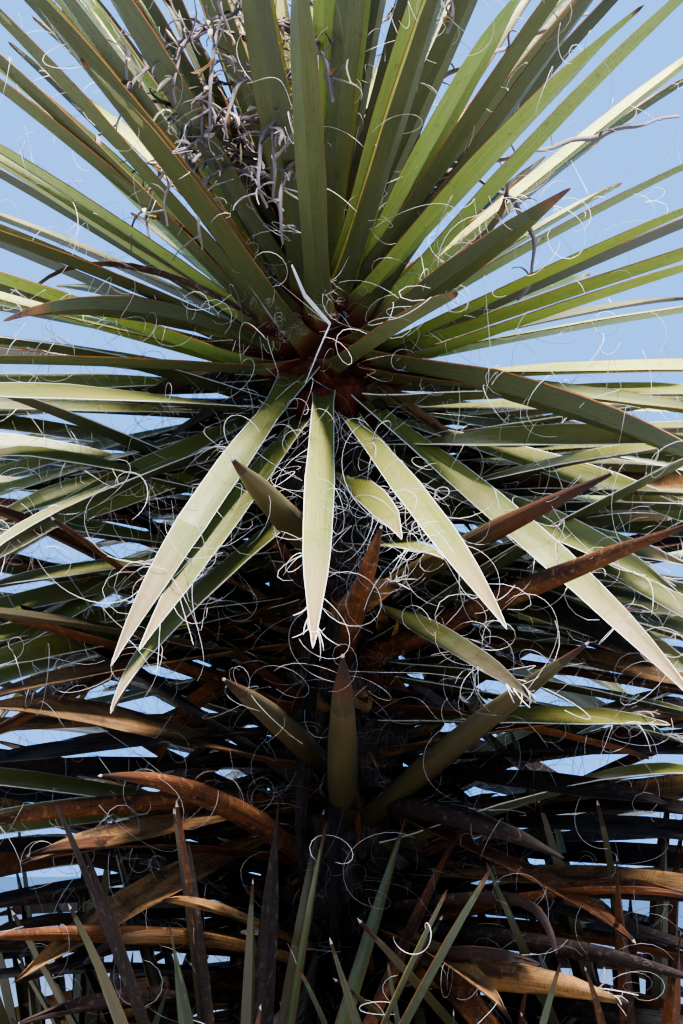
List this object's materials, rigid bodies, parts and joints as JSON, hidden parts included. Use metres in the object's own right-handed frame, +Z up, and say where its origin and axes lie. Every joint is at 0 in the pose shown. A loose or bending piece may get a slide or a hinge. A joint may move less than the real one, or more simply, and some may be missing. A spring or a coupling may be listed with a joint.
{
  "type": "mojave yucca plant",
  "caption": "Tall desert yucca: one leafy trunk with a spiky rosette crown and a dry flower stalk, a skirt of ageing leaves, and side shoots from its foot.",
  "frame": {"origin": "centre of the flat cut under the trunk, at ground level", "axes": "+Z up along the trunk; -Y towards the viewer, the side the picture shows; +X to the viewer's right"},
  "size_m": [1.4716, 1.3579, 2.3237],
  "materials": {
    "bark": "rough, fibrous",
    "green_leaf": "waxy, slightly glossy",
    "ageing_leaf": "waxy, dulled",
    "dead_leaf": "dry, matt",
    "dry_stalk": "weathered, matt"
  },
  "bodies": {
    "root": {"trunk": "bark", "flower_stalk": "dry_stalk", "skirt_whorl_01": "dead_leaf", "skirt_whorl_02": "dead_leaf", "skirt_whorl_03": "dead_leaf", "skirt_whorl_04": "dead_leaf", "skirt_whorl_05": "dead_leaf", "skirt_whorl_06": "dead_leaf", "skirt_whorl_07": "dead_leaf", "skirt_whorl_08": "dead_leaf", "skirt_whorl_09": "dead_leaf", "skirt_whorl_10": "dead_leaf", "skirt_whorl_11": "ageing_leaf", "skirt_whorl_12": "ageing_leaf", "skirt_whorl_13": "ageing_leaf", "skirt_whorl_14": "ageing_leaf", "skirt_whorl_15": "ageing_leaf", "skirt_whorl_16": "ageing_leaf", "skirt_whorl_17": "ageing_leaf", "skirt_whorl_18": "ageing_leaf", "skirt_whorl_19": "ageing_leaf", "skirt_whorl_20": "ageing_leaf", "crown_whorl_1": "green_leaf", "crown_whorl_2": "green_leaf", "crown_whorl_3": "green_leaf", "crown_whorl_4": "green_leaf", "crown_whorl_5": "green_leaf", "crown_whorl_6": "green_leaf", "crown_whorl_7": "green_leaf", "crown_whorl_8": "green_leaf", "crown_whorl_9": "green_leaf", "front_left_shoot_stem": "bark", "front_left_shoot_skirt": "dead_leaf", "front_left_shoot_whorl_1": "green_leaf", "front_left_shoot_whorl_2": "green_leaf", "front_left_shoot_whorl_3": "green_leaf", "front_left_shoot_whorl_4": "green_leaf", "front_shoot_stem": "bark", "front_shoot_skirt": "dead_leaf", "front_shoot_whorl_1": "green_leaf", "front_shoot_whorl_2": "green_leaf", "front_shoot_whorl_3": "green_leaf", "front_shoot_whorl_4": "green_leaf", "right_shoot_stem": "bark", "right_shoot_skirt": "dead_leaf", "right_shoot_whorl_1": "green_leaf", "right_shoot_whorl_2": "green_leaf", "right_shoot_whorl_3": "green_leaf", "right_shoot_whorl_4": "green_leaf", "left_shoot_stem": "bark", "left_shoot_skirt": "dead_leaf", "left_shoot_whorl_1": "green_leaf", "left_shoot_whorl_2": "green_leaf", "left_shoot_whorl_3": "green_leaf", "left_shoot_whorl_4": "green_leaf"}
  },
  "joints": []
}
